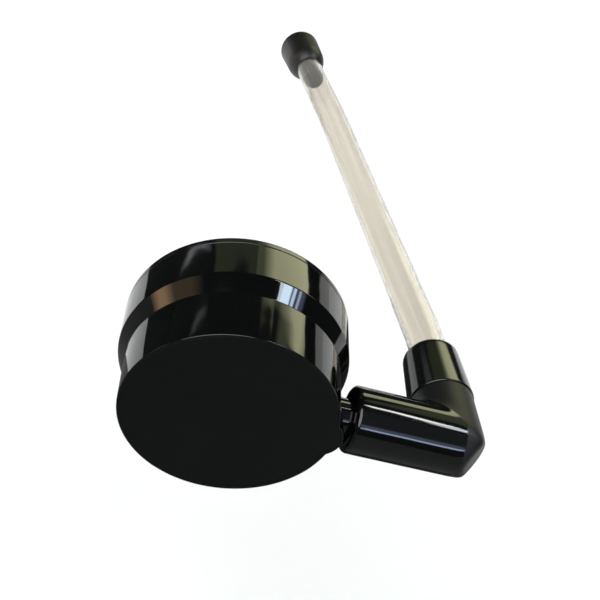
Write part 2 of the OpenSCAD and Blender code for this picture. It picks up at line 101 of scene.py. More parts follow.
class Nodes:
    """The node tree of a material or world, with short calls for the nodes used here."""

    def __init__(self, owner, coords="Object"):
        owner.use_nodes = True
        self.owner, self.tree = owner, owner.node_tree
        self.tree.nodes.clear()
        self.coords = self.add("ShaderNodeTexCoord").outputs[coords]

    def add(self, kind, **values):
        node = self.tree.nodes.new(kind)
        for key, value in values.items():
            setattr(node, key, value)
        return node

    def link(self, source, target):
        self.tree.links.new(source, target)

    def noise(self, scale, detail, stretch=None):
        """Noise from 0 to 1; scale is in features per metre."""
        node = self.add("ShaderNodeTexNoise")
        node.inputs["Scale"].default_value = scale
        node.inputs["Detail"].default_value = detail
        coords = self.coords
        if stretch:
            mapping = self.add("ShaderNodeMapping")
            mapping.inputs["Scale"].default_value = stretch
            self.link(coords, mapping.inputs["Vector"])
            coords = mapping.outputs["Vector"]
        self.link(coords, node.inputs["Vector"])
        return node.outputs["Fac"]

    def spread(self, value, low, high, to_low, to_high):
        """Maps low..high of a value to to_low..to_high, held at the ends."""
        node = self.add("ShaderNodeMapRange")
        node.clamp = True
        for name, number in (
            ("From Min", low),
            ("From Max", high),
            ("To Min", to_low),
            ("To Max", to_high),
        ):
            node.inputs[name].default_value = number
        self.link(value, node.inputs["Value"])
        return node.outputs["Result"]

    def math(self, operation, *values):
        """One Math node; each value is a number or an output."""
        node = self.add("ShaderNodeMath", operation=operation)
        for socket, value in zip(node.inputs, values):
            if isinstance(value, bpy.types.NodeSocket):
                self.link(value, socket)
            else:
                socket.default_value = value
        return node.outputs["Value"]

    def mix(self, factor, a, b):
        """Colour a at factor 0 and b at factor 1; each is a colour or an output."""
        node = self.add("ShaderNodeMix", data_type="RGBA")
        self.link(factor, node.inputs["Factor"])
        for name, value in (("A", a), ("B", b)):
            socket = next(s for s in node.inputs if s.name == name and s.type == "RGBA")
            if isinstance(value, tuple):
                socket.default_value = (*value, 1.0)
            else:
                self.link(value, socket)
        return next(s for s in node.outputs if s.type == "RGBA")

    def specks(self, scale, size):
        """1 inside sparse round specks and 0 elsewhere."""
        node = self.add("ShaderNodeTexVoronoi")
        node.inputs["Scale"].default_value = scale
        node.inputs["Randomness"].default_value = 1.0
        self.link(self.coords, node.inputs["Vector"])
        return self.spread(node.outputs["Distance"], size * 0.6, size, 1.0, 0.0)

    def bump(self, height, distance, under=None):
        """Normal of a relief so many metres deep, over another normal if one is given."""
        node = self.add("ShaderNodeBump")
        node.inputs["Distance"].default_value = distance
        self.link(height, node.inputs["Height"])
        if under:
            self.link(under, node.inputs["Normal"])
        return node.outputs["Normal"]

    def surface(self, **sockets):
        """The Principled shader, with a number, colour or output for each named socket."""
        shader = self.add("ShaderNodeBsdfPrincipled")
        for key, value in sockets.items():
            socket = shader.inputs[key.replace("_", " ")]
            if isinstance(value, bpy.types.NodeSocket):
                self.link(value, socket)
            elif isinstance(value, tuple):
                socket.default_value = (*value, 1.0)
            else:
                socket.default_value = value
        output = self.add("ShaderNodeOutputMaterial")
        self.link(shader.outputs["BSDF"], output.inputs["Surface"])
        return self.owner


def material_nodes(name):
    return Nodes(bpy.data.materials.new(name))


def shade(colour, factor):
    return tuple(c * factor for c in colour)


def glossy_moulding(name, colour, roughness):
    """Polished moulding: walls not quite true, hairline scratches and a little dust."""
    n = material_nodes(name)
    haze = n.noise(55.0, 3.0)
    sink = n.noise(38.0, 1.0)
    scratches = n.noise(900.0, 1.0, stretch=(1.0, 0.06, 1.0))
    tone = n.mix(haze, shade(colour, 0.8), shade(colour, 1.25))
    return n.surface(
        Base_Color=n.mix(n.specks(*DUST_SPECKS), tone, DUST),
        Roughness=n.spread(haze, *CLOUD_BAND, roughness * 0.75, roughness * 1.3),
        IOR=PLASTIC_IOR,
        Normal=n.bump(scratches, HAIRLINE, n.bump(sink, CASE_SINK)),
    )


def lever_moulding(name, colour, polished, satin):
    """The hub: a polished barrel, and a bend and leg worn satin past the corner of their axes."""
    n = material_nodes(name)
    place = n.add("ShaderNodeSeparateXYZ")
    n.link(n.coords, place.inputs["Vector"])
    along = n.math("SUBTRACT", place.outputs["X"], CORNER_X * MM)
    up = n.math("SUBTRACT", place.outputs["Y"], SHAFT_Y * MM)
    past = n.math("MAXIMUM", n.math("SUBTRACT", along, SATIN_START), n.math("ADD", along, up))
    haze = n.noise(55.0, 3.0)
    sink = n.noise(38.0, 1.0)
    tone = n.mix(haze, shade(colour, 0.8), shade(colour, 1.25))
    return n.surface(
        Base_Color=n.mix(n.specks(*DUST_SPECKS), tone, DUST),
        Roughness=n.spread(past, *SATIN_FADE, polished, satin),
        IOR=PLASTIC_IOR,
        Normal=n.bump(n.noise(700.0, 3.0), HUB_MARKS, n.bump(sink, HUB_SINK)),
    )


def matt_rubber(name, colour):
    """Matt sheet rubber with a fine grain and a few bits of lint."""
    n = material_nodes(name)
    grain = n.noise(2600.0, 3.0)
    cloud = n.noise(28.0, 4.0)
    tone = n.mix(cloud, shade(colour, 0.85), shade(colour, 1.18))
    return n.surface(
        Base_Color=n.mix(n.specks(*LINT_SPECKS), tone, DUST),
        Roughness=n.spread(grain, *GRAIN_BAND, 0.5, 0.66),
        Specular_IOR_Level=0.06,
        Normal=n.bump(grain, SHEET_GRAIN),
    )


def soft_rubber(name, colour, roughness):
    """Moulded elastomer: waxy gloss with slight dimples."""
    n = material_nodes(name)
    cloud = n.noise(70.0, 3.0)
    return n.surface(
        Base_Color=n.mix(cloud, shade(colour, 0.8), shade(colour, 1.3)),
        Roughness=n.spread(cloud, *CLOUD_BAND, roughness * 0.8, roughness * 1.35),
        IOR=PLASTIC_IOR,
        Normal=n.bump(n.noise(240.0, 2.0), DIMPLES),
    )


def lever_rubber(name, colour, polished, handled):
    """Moulded elastomer: glossy at the hub, satin where hands have worn the far end."""
    n = material_nodes(name)
    place = n.add("ShaderNodeSeparateXYZ")
    n.link(n.coords, place.inputs["Vector"])
    cloud = n.noise(70.0, 3.0)
    return n.surface(
        Base_Color=n.mix(cloud, shade(colour, 0.8), shade(colour, 1.3)),
        Roughness=n.spread(place.outputs["Y"], *HANDLED, polished, handled),
        IOR=PLASTIC_IOR,
        Normal=n.bump(n.noise(240.0, 2.0), DIMPLES),
    )


def grained_plastic(name, colour, roughness):
    """Moulded plastic with a fine spark-eroded grain."""
    n = material_nodes(name)
    grain = n.noise(1700.0, 3.0)
    cloud = n.noise(60.0, 3.0)
    return n.surface(
        Base_Color=n.mix(cloud, shade(colour, 0.85), shade(colour, 1.15)),
        Roughness=n.spread(grain, *GRAIN_BAND, roughness * 0.85, roughness * 1.15),
        Normal=n.bump(grain, SPARK_GRAIN),
    )


def turned_metal(name, colour, roughness):
    """Machined metal with tool marks and slight staining."""
    n = material_nodes(name)
    marks = n.noise(1500.0, 2.0, stretch=(1.0, 0.15, 1.0))
    stain = n.noise(120.0, 3.0)
    return n.surface(
        Base_Color=n.mix(stain, shade(colour, 0.82), colour),
        Metallic=1.0,
        Roughness=n.spread(marks, *GRAIN_BAND, roughness * 0.7, roughness * 1.4),
        Normal=n.bump(marks, TOOL_MARKS),
    )


def translucent_tube(name, colour):
    """Extruded milky plastic with draw lines that follow the tube."""
    n = material_nodes(name)
    place = n.add("ShaderNodeMapping", vector_type="TEXTURE")
    place.inputs["Rotation"].default_value = (
        math.radians(HANDLE_SET), 0.0, math.radians(LEG_LEAN + TUBE_BEND)
    )
    place.inputs["Scale"].default_value = (1.0, DRAW_STRETCH, 1.0)
    n.link(n.coords, place.inputs["Vector"])
    haze = n.noise(35.0, 3.0)
    n.coords = place.outputs["Vector"]
    streaks = n.spread(n.noise(150.0, 2.0), *STREAK_BAND, 0.0, 1.0)
    return n.surface(
        Base_Color=n.mix(streaks, shade(colour, 0.93), shade(colour, 1.09)),
        Roughness=n.spread(haze, *CLOUD_BAND, 0.07, 0.11),
        IOR=TUBE_IOR,
        Transmission_Weight=0.97,
    )


MATERIALS = {
    "shell": glossy_moulding("shell_black", BLACK_GLOSS, 0.05),
    "cover": glossy_moulding("cover_black", shade(BLACK_GLOSS, 1.15), 0.08),
    "hub_plastic": lever_moulding("hub_black", BLACK_GLOSS, 0.07, 0.47),
    "pad_rubber": matt_rubber("pad_matt", BLACK_MATT),
    "boot_rubber": lever_rubber("boot_black", BLACK_RUBBER, 0.12, 0.42),
    "seal_rubber": soft_rubber("seal_black", BLACK_SEAL, 0.4),
    "flap_rubber": soft_rubber("flap_red", RED_RUBBER, 0.45),
    "diaphragm_rubber": soft_rubber("diaphragm_black", BLACK_NITRILE, 0.5),
    "valve_plastic": grained_plastic("valve_grey", DARK_GREY, 0.45),
    "tail_plastic": grained_plastic("tail_black", BLACK_GRAINED, 0.35),
    "yoke_plastic": grained_plastic("yoke_natural", NATURAL_PLASTIC, 0.4),
    "steel": turned_metal("steel_turned", STEEL, 0.28),
    "plate_alloy": turned_metal("alloy_turned", ALLOY, 0.35),
    "bush_bronze": turned_metal("bronze_bush", BRONZE, 0.4),
    "clear_tube": translucent_tube("tube_pale", PALE_TUBE),
}


def paint(obj, material):
    """Gives the whole object one material."""
    obj.data.materials.clear()
    obj.data.materials.append(material)


for row in frame["record"]["subparts"]:
    paint(frame["nodes"][row["node"]], MATERIALS[row["material_slot"]])


# ---------------------------------------------------------------- mesh kit, in millimetres

FACETS = 192             # around the large turned shapes
MEDIUM_FACETS = 96       # around the ear, the neck, the turrets, the hose tails and the handle
SMALL_FACETS = 64        # around shafts, bushes and pads
PIN_FACETS = 24          # around screw and pin holes
ARC_STEPS = 7            # pieces of an arc that rounds a corner
TURN_STEP = 4.0          # about how long the sides of a turned outline are
UNCUT = 50.0             # a step for plain shapes, whose sides stay whole
SHARP_ANGLE = math.radians(32)
WELD = 0.002             # vertices closer than this become one
OVER = 1.0               # how far a cutter runs past the face that it opens
TURN_Y = Matrix.Rotation(math.radians(-90), 4, "X")      # turned shapes: from the Z axis to Y
TURN_X = Matrix.Rotation(math.radians(90), 4, "Y")       # and to X


def shift(x=0.0, y=0.0, z=0.0):
    return Matrix.Translation((x, y, z))


def turn(degrees, axis):
    return Matrix.Rotation(math.radians(degrees), 4, axis)


def corner_arc(a, p, b, radius):
    """Points of the arc that rounds the corner p between a and b."""
    u, v = (a - p).normalized(), (b - p).normalized()
    half = u.angle(v) / 2
    centre = p + (u + v).normalized() * radius / math.sin(half)
    start = p + u * radius / math.tan(half) - centre
    sweep = start.angle_signed(p + v * radius / math.tan(half) - centre)
    return [
        centre + Matrix.Rotation(-sweep * i / ARC_STEPS, 2) @ start for i in range(ARC_STEPS + 1)
    ]


def rounded(points):
    """Closed outline from (x, y) corners; a third number rounds its corner."""
    flat = [Vector(p[:2]) for p in points]
    outline = []
    for i, point in enumerate(points):
        if len(point) == 2:
            outline.append(flat[i])
        else:
            outline += corner_arc(flat[i - 1], flat[i], flat[(i + 1) % len(flat)], point[2])
    return outline


def finely(outline, step):
    """The outline with its long sides cut into steps, so that shading stays even."""
    fine = []
    for a, b in zip(outline, outline[1:] + outline[:1]):
        count = max(1, round((b - a).length / step))
        fine += [a.lerp(b, i / count) for i in range(count)]
    return fine


def solid(name, mesh):
    """A closed piece with its normals outwards, in the scene."""
    mesh.verts.index_update()
    bmesh.ops.recalc_face_normals(mesh, faces=mesh.faces)
    data = bpy.data.meshes.new(name)
    mesh.to_mesh(data)
    mesh.free()
    obj = bpy.data.objects.new(name, data)
    bpy.context.scene.collection.objects.link(obj)
    return obj


def bridge(mesh, ring, after):
    """Faces between two rings, either of which may be a single point."""
    count = max(len(ring), len(after))
    for i in range(count):
        j = (i + 1) % count
        corners = [ring[i % len(ring)], ring[j % len(ring)], after[j % len(after)], after[i % len(after)]]
        mesh.faces.new(list(dict.fromkeys(corners)))


def lathe(name, outline, place=Matrix(), facets=FACETS, step=TURN_STEP):
    """Solid turned about the Z axis from a closed outline of (radius, height) points."""
    mesh = bmesh.new()
    rings = []
    for radius, height in finely([Vector(p) for p in outline], step):
        angles = [2 * math.pi * i / facets for i in range(facets if radius > 0 else 1)]
        ring = [Vector((radius * math.cos(a), radius * math.sin(a), height)) for a in angles]
        rings.append([mesh.verts.new(place @ point) for point in ring])
    for ring, after in zip(rings, rings[1:] + rings[:1]):
        if len(ring) > 1 or len(after) > 1:
            bridge(mesh, ring, after)
    return solid(name, mesh)


def rod(radius, low, high, place=Matrix(), facets=SMALL_FACETS):
    """Plain round cutter or core along Z."""
    return lathe("rod", [(0, low), (radius, low), (radius, high), (0, high)], place, facets, UNCUT)


def rod_y(radius, low, high, x=0.0, z=0.0, facets=SMALL_FACETS):
    return rod(radius, low, high, shift(x, 0, z) @ TURN_Y, facets)


def rod_x(radius, low, high, y=0.0, z=0.0, facets=SMALL_FACETS):
    return rod(radius, low, high, shift(0, y, z) @ TURN_X, facets)


def prism(name, outline, low, high, place=Matrix()):
    """Straight solid on an outline of (x, y) points, from low to high along Z."""
    mesh = bmesh.new()
    floor = [mesh.verts.new(place @ Vector((*p, low))) for p in outline]
    roof = [mesh.verts.new(place @ Vector((*p, high))) for p in outline]
    mesh.faces.new(floor)
    mesh.faces.new(roof)
    bridge(mesh, floor, roof)
    return solid(name, mesh)


def baked(obj):
    """The object with its modifiers worked into its mesh."""
    graph = bpy.context.evaluated_depsgraph_get()
    mesh = bpy.data.meshes.new_from_object(obj.evaluated_get(graph))
    old, obj.data = obj.data, mesh
    obj.modifiers.clear()
    bpy.data.meshes.remove(old)
    return obj


def combine(obj, operation, tools):
    """UNION or DIFFERENCE of the object with each tool in turn; the tools are used up."""
    for tool in tools:
        step = obj.modifiers.new(operation.lower(), "BOOLEAN")
        step.operation, step.solver, step.object = operation, "MANIFOLD", tool
    baked(obj)
    for tool in tools:
        data = tool.data
        bpy.data.objects.remove(tool)
        bpy.data.meshes.remove(data)
    return obj


def even_shading(obj):
    """Smooth shading with sharp edges kept and large faces leading the normals."""
    mesh = bmesh.new()
    mesh.from_mesh(obj.data)
    bmesh.ops.remove_doubles(mesh, verts=mesh.verts, dist=WELD)
    bmesh.ops.dissolve_degenerate(mesh, edges=mesh.edges, dist=WELD)
    for face in mesh.faces:
        face.smooth = True
    for edge in mesh.edges:
        edge.smooth = edge.calc_face_angle(math.pi) < SHARP_ANGLE
    mesh.to_mesh(obj.data)
    mesh.free()
    leading = obj.modifiers.new("leading", "WEIGHTED_NORMAL")
    leading.keep_sharp = True
    return baked(obj)


def finished(obj, name, slot, *nodes):
    """Names and paints a piece made in millimetres, and lets it stand for its CAD nodes."""
    even_shading(obj)
    obj.name = obj.data.name = name
    obj.data.transform(Matrix.Scale(MM, 4))
    paint(obj, MATERIALS[slot])
    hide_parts(*nodes)
    return obj


def dress(obj, name, body, slot, *nodes):
    """A finished piece, set on its body."""
    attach(finished(obj, name, slot, *nodes), body)


# ---------------------------------------------------------------- body and base pad

BASE_R, CASE_R, STEP_R, RIM_R = 55.0, 55.9, 60.4, 60.7
LIP_Y, STEP_START, STEP_END, FLANGE_Y, BODY_DEPTH = 0.4, 29.5, 39.3, 63.2, 67.6
LIP_W, PAD_T, PAD_GAP, PAD_ROUND = 0.7, 1.6, 0.1, 0.35
EDGE_ROUND, CASE_ROUND, STEP_ROUND = 0.5, 1.0, 2.2
EAR_X, EAR_R = 45.0, 14.0
NECK_R, NECK_ROOT, NECK_END = 10.0, 50.0, 73.0
WALL_Y, BEAD_Y, CRANK_ROOM_R, VALVE_ROOM_R = 4.5, 41.0, 46.0, 52.0
GASKET_R, GASKET_T = 54.0, 1.3
BUSH_R, SEAL_BORE_R, NECK_BUSH_END = 8.02, 8.52, 66.5
WEB_X, WEB_R, WEB_HALF = (30.0, 38.0), 10.0, 11.0
GUIDE_Z, GUIDE_R, GUIDE_PAD_R, GUIDE_PAD_Y, GUIDE_Y = (-16.0, 23.5), 2.52, 5.0, 5.3, 2.6
SCREW_COUNT, SCREW_RING_R, SCREW_R, SCREW_TIP = 8, 56.4, 1.67, 50.0


def around(count, radius):
    """(x, z) places of a ring of holes, half a step off the axis."""
    for i in range(count):
        a = 2 * math.pi * (i + 0.5) / count
        yield radius * math.sin(a), radius * math.cos(a)


def body_shell():
    """Crank case, step and rim, hollow, with the ear, the neck, the inner web and all bores."""
    shell = lathe(
        "shell",
        rounded([
            (0, LIP_Y), (BASE_R, LIP_Y, EDGE_ROUND), (CASE_R, STEP_START, CASE_ROUND),
            (STEP_R, STEP_END, STEP_ROUND), (RIM_R, FLANGE_Y, EDGE_ROUND),
            (GASKET_R, FLANGE_Y), (GASKET_R, FLANGE_Y - GASKET_T),
            (VALVE_ROOM_R, FLANGE_Y - GASKET_T), (VALVE_ROOM_R, BEAD_Y), (CRANK_ROOM_R, BEAD_Y),
            (CRANK_ROOM_R, WALL_Y), (0, WALL_Y),
        ]),
        TURN_Y,
        step=3.0,
    )
    ear = lathe(
        "ear",
        rounded([(0, LIP_Y), (EAR_R, LIP_Y, EDGE_ROUND), (EAR_R, SHAFT_Y), (0, SHAFT_Y)]),
        shift(EAR_X) @ TURN_Y,
        MEDIUM_FACETS,
    )
    near, far = WEB_X
    section = [(near, WALL_Y - OVER), (far, WALL_Y - OVER), (far, SHAFT_Y), (near, SHAFT_Y)]
    web = prism("web", section, -WEB_HALF, WEB_HALF)
    core = rod_y(CRANK_ROOM_R, WALL_Y, BEAD_Y, facets=FACETS)
    neck = rod_x(NECK_R, NECK_ROOT, NECK_END, SHAFT_Y, facets=MEDIUM_FACETS)
    combine(ear, "UNION", [neck])
    combine(ear, "DIFFERENCE", [core])
    pads = [rod_y(GUIDE_PAD_R, WALL_Y - OVER, GUIDE_PAD_Y, z=z) for z in GUIDE_Z]
    combine(shell, "UNION", [ear, web, rod_x(WEB_R, *WEB_X, SHAFT_Y), *pads])
    holes = [
        rod_y(BASE_R - LIP_W, -OVER, PAD_T, facets=FACETS),
        rod_y(EAR_R - LIP_W, -OVER, PAD_T, EAR_X, facets=MEDIUM_FACETS),
        rod_x(BUSH_R, near - OVER, NECK_BUSH_END, SHAFT_Y),
        rod_x(SEAL_BORE_R, NECK_BUSH_END, NECK_END + OVER, SHAFT_Y),
    ]
    holes += [rod_y(GUIDE_R, GUIDE_Y, GUIDE_PAD_Y + OVER, z=z) for z in GUIDE_Z]
    holes += [
        rod_y(SCREW_R, SCREW_TIP, FLANGE_Y + OVER, x, z, PIN_FACETS)
        for x, z in around(SCREW_COUNT, SCREW_RING_R)
    ]
    return combine(shell, "DIFFERENCE", holes)


def base_pad():
    """Sheet of rubber with a soft front edge, cut to the base and its ear."""
    def disc(radius, x, facets):
        outline = rounded([(0, 0), (radius, 0, PAD_ROUND), (radius, PAD_T), (0, PAD_T)])
        return lathe("disc", outline, shift(x) @ TURN_Y, facets)

    inset = LIP_W + PAD_GAP
    ear = disc(EAR_R - inset, EAR_X, MEDIUM_FACETS)
    return combine(disc(BASE_R - inset, 0, FACETS), "UNION", [ear])


dress(body_shell(), "body_moulding", "pump_body", "shell", "housing")
dress(base_pad(), "base_pad_sheet", "pump_body", "pad_rubber", "base_pad")

# ---------------------------------------------------------------- rear cover and hose tails

PORT_X, PORT_Z, PORT_R, POCKET_R, POCKET_Y = 26.0, -8.0, 7.5, 13.5, 74.0
TURRET_R, TURRET_Y, TURRET_ROUND, TURRET_ROOT = 18.0, 80.0, 0.8, 2.0
HINGE_Y, HINGE_UP, HINGE_R, HINGE_HALF = 65.4, 9.6, 1.22, 12.02
SCREW_HEAD_R, SCREW_HEAD_T, SCREW_PLAY, HEAD_FACETS = 3.6, 2.4, 0.18, 48
COVER_ROUND = 1.4
RIB_COUNT, RIB_R, RIB_W, RIB_H = 8, (17.0, 51.0), 2.4, 2.6
RIB_ROUND, RIB_ROUND_STEPS, RIB_END_STEPS = 0.5, 3, 8
TAIL_R, TAIL_BORE, TAIL_PLUG_R, TAIL_END, TAIL_LEAD = 12.7, 9.5, 12.0, 112.0, 110.0
TAIL_FIT, TAIL_SLACK, LEAD_ROUND, END_ROUND = 0.02, 0.5, 2.0, 0.4
TAIL_GROOVES, GROOVE_DEPTH = ((98.0, 100.0), (104.0, 106.0)), 0.5
HEX_R, HEX_T, HEX_CHAMFER, HEX_TOP_SHARE = 17.0, 4.0, 1.2, 0.9
RING_GROOVE, RING_T = (12.0, 14.0), 1.3


def port(side):
    """From +Z at the origin to a port's axis: side -1 is the inlet, 1 the outlet."""
    return shift(side * PORT_X, 0, PORT_Z) @ TURN_Y


def rear_cover():
    """Flat cover with two turrets for the hose tails, ribs, ports and screw holes."""
    cover = lathe(
        "cover",
        rounded([(0, FLANGE_Y), (RIM_R, FLANGE_Y, EDGE_ROUND), (RIM_R, BODY_DEPTH, COVER_ROUND),
                 (0, BODY_DEPTH)]),
        TURN_Y,
    )
    root = BODY_DEPTH - TURRET_ROOT
    turret = rounded([(0, root), (TURRET_R, root), (TURRET_R, TURRET_Y, TURRET_ROUND), (0, TURRET_Y)])
    turrets = [lathe("turret", turret, port(side), MEDIUM_FACETS) for side in (-1, 1)]
    combine(cover, "UNION", [*turrets, *(rib(i) for i in range(RIB_COUNT))])
    holes = [
        rod_y(PORT_R, FLANGE_Y - OVER, TURRET_Y, -PORT_X, PORT_Z),
        rod_y(POCKET_R, FLANGE_Y - OVER, POCKET_Y, PORT_X, PORT_Z),
        rod_x(HINGE_R, PORT_X - HINGE_HALF, PORT_X + HINGE_HALF, HINGE_Y, PORT_Z + HINGE_UP, PIN_FACETS),
    ]
    holes += [
        rod_y(TAIL_PLUG_R + TAIL_FIT, POCKET_Y - TAIL_SLACK, TURRET_Y + OVER, side * PORT_X, PORT_Z)
        for side in (-1, 1)
    ]
    top = BODY_DEPTH + OVER
    for x, z in around(SCREW_COUNT, SCREW_RING_R):
        holes.append(rod_y(SCREW_R + SCREW_PLAY, FLANGE_Y - OVER, top, x, z, PIN_FACETS))
        holes.append(rod_y(SCREW_HEAD_R, BODY_DEPTH - SCREW_HEAD_T, top, x, z, HEAD_FACETS))
    return combine(cover, "DIFFERENCE", holes)


def rib(i):
    """Radial rib of the cover with round ends and a soft top."""
    low, high = RIB_R
    outline = [
        (x + RIB_W / 2 * math.cos(a), RIB_W / 2 * math.sin(a))
        for x, start in ((high - RIB_W / 2, -90), (low + RIB_W / 2, 90))
        for a in (math.radians(start + 180 * k / RIB_END_STEPS) for k in range(RIB_END_STEPS + 1))
    ]
    place = turn(360 * (i + 0.5) / RIB_COUNT - 90, "Y") @ TURN_Y
    bar = prism("rib", outline, BODY_DEPTH - OVER, BODY_DEPTH + RIB_H, place)
    edge = bar.modifiers.new("soft", "BEVEL")
    edge.width, edge.segments = RIB_ROUND, RIB_ROUND_STEPS
    edge.limit_method, edge.angle_limit = "ANGLE", math.radians(40)
    return baked(bar)


def hose_tail(side):
    """Grooved tail with its hexagon and the groove of its sealing ring."""
    place = port(side)
    outline = [(0, POCKET_Y), (TAIL_PLUG_R, POCKET_Y), (TAIL_PLUG_R, TURRET_Y), (TAIL_R, TURRET_Y)]
    groove_r = TAIL_R - GROOVE_DEPTH
    for low, high in TAIL_GROOVES:
        outline += [(TAIL_R, low), (groove_r, low), (groove_r, high), (TAIL_R, high)]
    outline += [(TAIL_R, TAIL_LEAD, LEAD_ROUND), (groove_r, TAIL_END, END_ROUND), (0, TAIL_END)]
    tail = lathe("tail", rounded(outline), place, MEDIUM_FACETS)
    turns = [math.radians(60 * k) for k in range(6)]
    flats = [(HEX_R * math.cos(a), HEX_R * math.sin(a)) for a in turns]
    top = TURRET_Y + HEX_T
    hexagon = prism("hexagon", flats, TURRET_Y, top, place)
    cone = lathe(
        "cone",
        [(0, TURRET_Y - OVER), (HEX_R + OVER, TURRET_Y - OVER), (HEX_R + OVER, top - HEX_CHAMFER),
         (HEX_R * HEX_TOP_SHARE, top), (0, top)],
        place,
        MEDIUM_FACETS,
        UNCUT,
    )
    combine(hexagon, "INTERSECT", [cone])
    ring = lathe(
        "ring",
        [(RING_GROOVE[0], TURRET_Y - OVER), (RING_GROOVE[1], TURRET_Y - OVER),
         (RING_GROOVE[1], TURRET_Y + RING_T), (RING_GROOVE[0], TURRET_Y + RING_T)],
        place,
        MEDIUM_FACETS,
    )
    combine(tail, "UNION", [hexagon])
    bore = rod(TAIL_BORE, POCKET_Y - OVER, TAIL_END + OVER, place, MEDIUM_FACETS)
    return combine(tail, "DIFFERENCE", [bore, ring])


dress(rear_cover(), "rear_cover_moulding", "pump_body", "cover", "rear_cover")
dress(hose_tail(-1), "inlet_hose_tail", "pump_body", "tail_plastic", "inlet_tail")
dress(hose_tail(1), "outlet_hose_tail", "pump_body", "tail_plastic", "outlet_tail")

# ---------------------------------------------------------------- lever hub

HUB_R, MOUTH_X, MOUTH_ROUND = 17.9, 62.5, 2.6
MOUTH_BORE_R, MOUTH_DEPTH, MOUTH_FACE_W = 12.6, 15.5, 3.0
LEG_STEP, LEG_TOP, SPIGOT_R, SOCKET_H = 28.7, 54.3, 15.2, 22.0
SHOULDER_CHAMFER, SPIGOT_CHAMFER = 0.3, 0.5
HEEL = 15.6              # the heel's flat, from the corner of the two axes
PIVOT_AWAY = 8.0         # the bend's pivot, out from the crotch
CROTCH_BLEND, HEEL_BLEND = 2.8, 45.0   # low is a wide fillet, high a tight one
BARREL_RINGS, BEND_RINGS = 8, 48
GRAZING = 1e-4           # a way this close to a line never meets it
SHAFT_BORE, SHAFT_END = 6.02, 104.5
GRUB_X, GRUB_R = 92.0, 3.02
TUBE_R, TUBE_WALL, TUBE_PLAY = 11.25, 2.0, 0.04
CORNER = shift(CORNER_X, SHAFT_Y) @ turn(HANDLE_SET, "X")
LEG = CORNER @ turn(LEG_LEAN, "Z") @ TURN_Y


def soft_least(values, sharpness):
    """The least of some distances, blended smoothly where two of them are close."""
    least = min(values)
    return least * sum((least / v) ** sharpness for v in values) ** (-1 / sharpness)


def bend_ring(share):
    """Ring of the elbow's skin round its pivot: share 0 is square to the barrel, 1 to the leg."""
    lean = math.radians(LEG_LEAN)
    across = Vector((math.cos(lean), math.sin(lean)))
    reach = HUB_R + PIVOT_AWAY
    pivot = Vector((-reach * (1 + math.sin(lean)) / math.cos(lean), reach))
    heel_turn = math.radians(LEG_LEAN / 2 - 45)
    heel_way = Vector((math.cos(heel_turn), math.sin(heel_turn)))
    angle = -math.pi / 2 + share * (math.pi / 2 + lean)
    way = Vector((math.cos(angle), math.sin(angle)))
    ring = []
    for i in range(FACETS):
        t = 2 * math.pi * i / FACETS
        side = HUB_R * math.cos(t)
        blend = CROTCH_BLEND * (HEEL_BLEND / CROTCH_BLEND) ** ((1 - math.cos(t)) / 2)
        limits = [(HEEL - heel_way @ pivot) / (heel_way @ way)]
        if way.y < -GRAZING:
            limits.append((side - pivot.y) / way.y)
        if across @ way > GRAZING:
            limits.append((-side - across @ pivot) / (across @ way))
        point = pivot + way * soft_least(limits, blend)
        ring.append(Vector((*point, HUB_R * math.sin(t))))
    return ring


def elbow_skin():
    """Closed solid of the hub: rounded mouth, barrel, blended bend, leg, shoulder and spigot."""
    def barrel_ring(x, radius):
        return [
            Vector((x, radius * math.cos(t), radius * math.sin(t)))
            for t in (2 * math.pi * i / FACETS for i in range(FACETS))
        ]

    def leg_ring(height, radius):
        return [
            leg_turn @ Vector((-radius * math.cos(t), height, radius * math.sin(t)))
            for t in (2 * math.pi * i / FACETS for i in range(FACETS))
        ]

    leg_turn = Matrix.Rotation(math.radians(LEG_LEAN), 3, "Z")
    mouth = MOUTH_X - CORNER_X
    first, last = bend_ring(0.0), bend_ring(1.0)
    rings = [[Vector((mouth, 0, 0))], barrel_ring(mouth, MOUTH_BORE_R - MOUTH_FACE_W)]
    for k in range(ARC_STEPS, -1, -1):
        a = math.pi / 2 * k / ARC_STEPS
        along = mouth + MOUTH_ROUND * (1 - math.sin(a))
        rings.append(barrel_ring(along, HUB_R - MOUTH_ROUND * (1 - math.cos(a))))
    start, end = mouth + MOUTH_ROUND, first[0].x
    rings += [
        barrel_ring(start + (end - start) * k / BARREL_RINGS, HUB_R) for k in range(1, BARREL_RINGS)
    ]
    rings += [first, *(bend_ring(k / BEND_RINGS) for k in range(1, BEND_RINGS)), last]
    rings += [
        leg_ring(LEG_STEP - SHOULDER_CHAMFER, HUB_R), leg_ring(LEG_STEP, HUB_R - SHOULDER_CHAMFER),
        leg_ring(LEG_STEP, SPIGOT_R), leg_ring(LEG_TOP - SPIGOT_CHAMFER, SPIGOT_R),
        leg_ring(LEG_TOP, SPIGOT_R - SPIGOT_CHAMFER), [leg_turn @ Vector((0, LEG_TOP, 0))],
    ]
    mesh = bmesh.new()
    made = [[mesh.verts.new(CORNER @ p) for p in ring] for ring in rings]
    for ring, after in zip(made, made[1:]):
        bridge(mesh, ring, after)
    return solid("elbow", mesh)


def lever_elbow():
    """The elbow with its open mouth, shaft bore, grub screw hole and tube socket."""
    holes = [
        rod_x(MOUTH_BORE_R, MOUTH_X - OVER, MOUTH_X + MOUTH_DEPTH, SHAFT_Y, facets=MEDIUM_FACETS),
        rod_x(SHAFT_BORE, MOUTH_X, SHAFT_END, SHAFT_Y),
        rod(GRUB_R, -HUB_R - OVER, -OVER, shift(GRUB_X, SHAFT_Y)),
        rod(TUBE_R + TUBE_PLAY, SOCKET_H, LEG_TOP + OVER, LEG, MEDIUM_FACETS),
    ]
    return combine(elbow_skin(), "DIFFERENCE", holes)


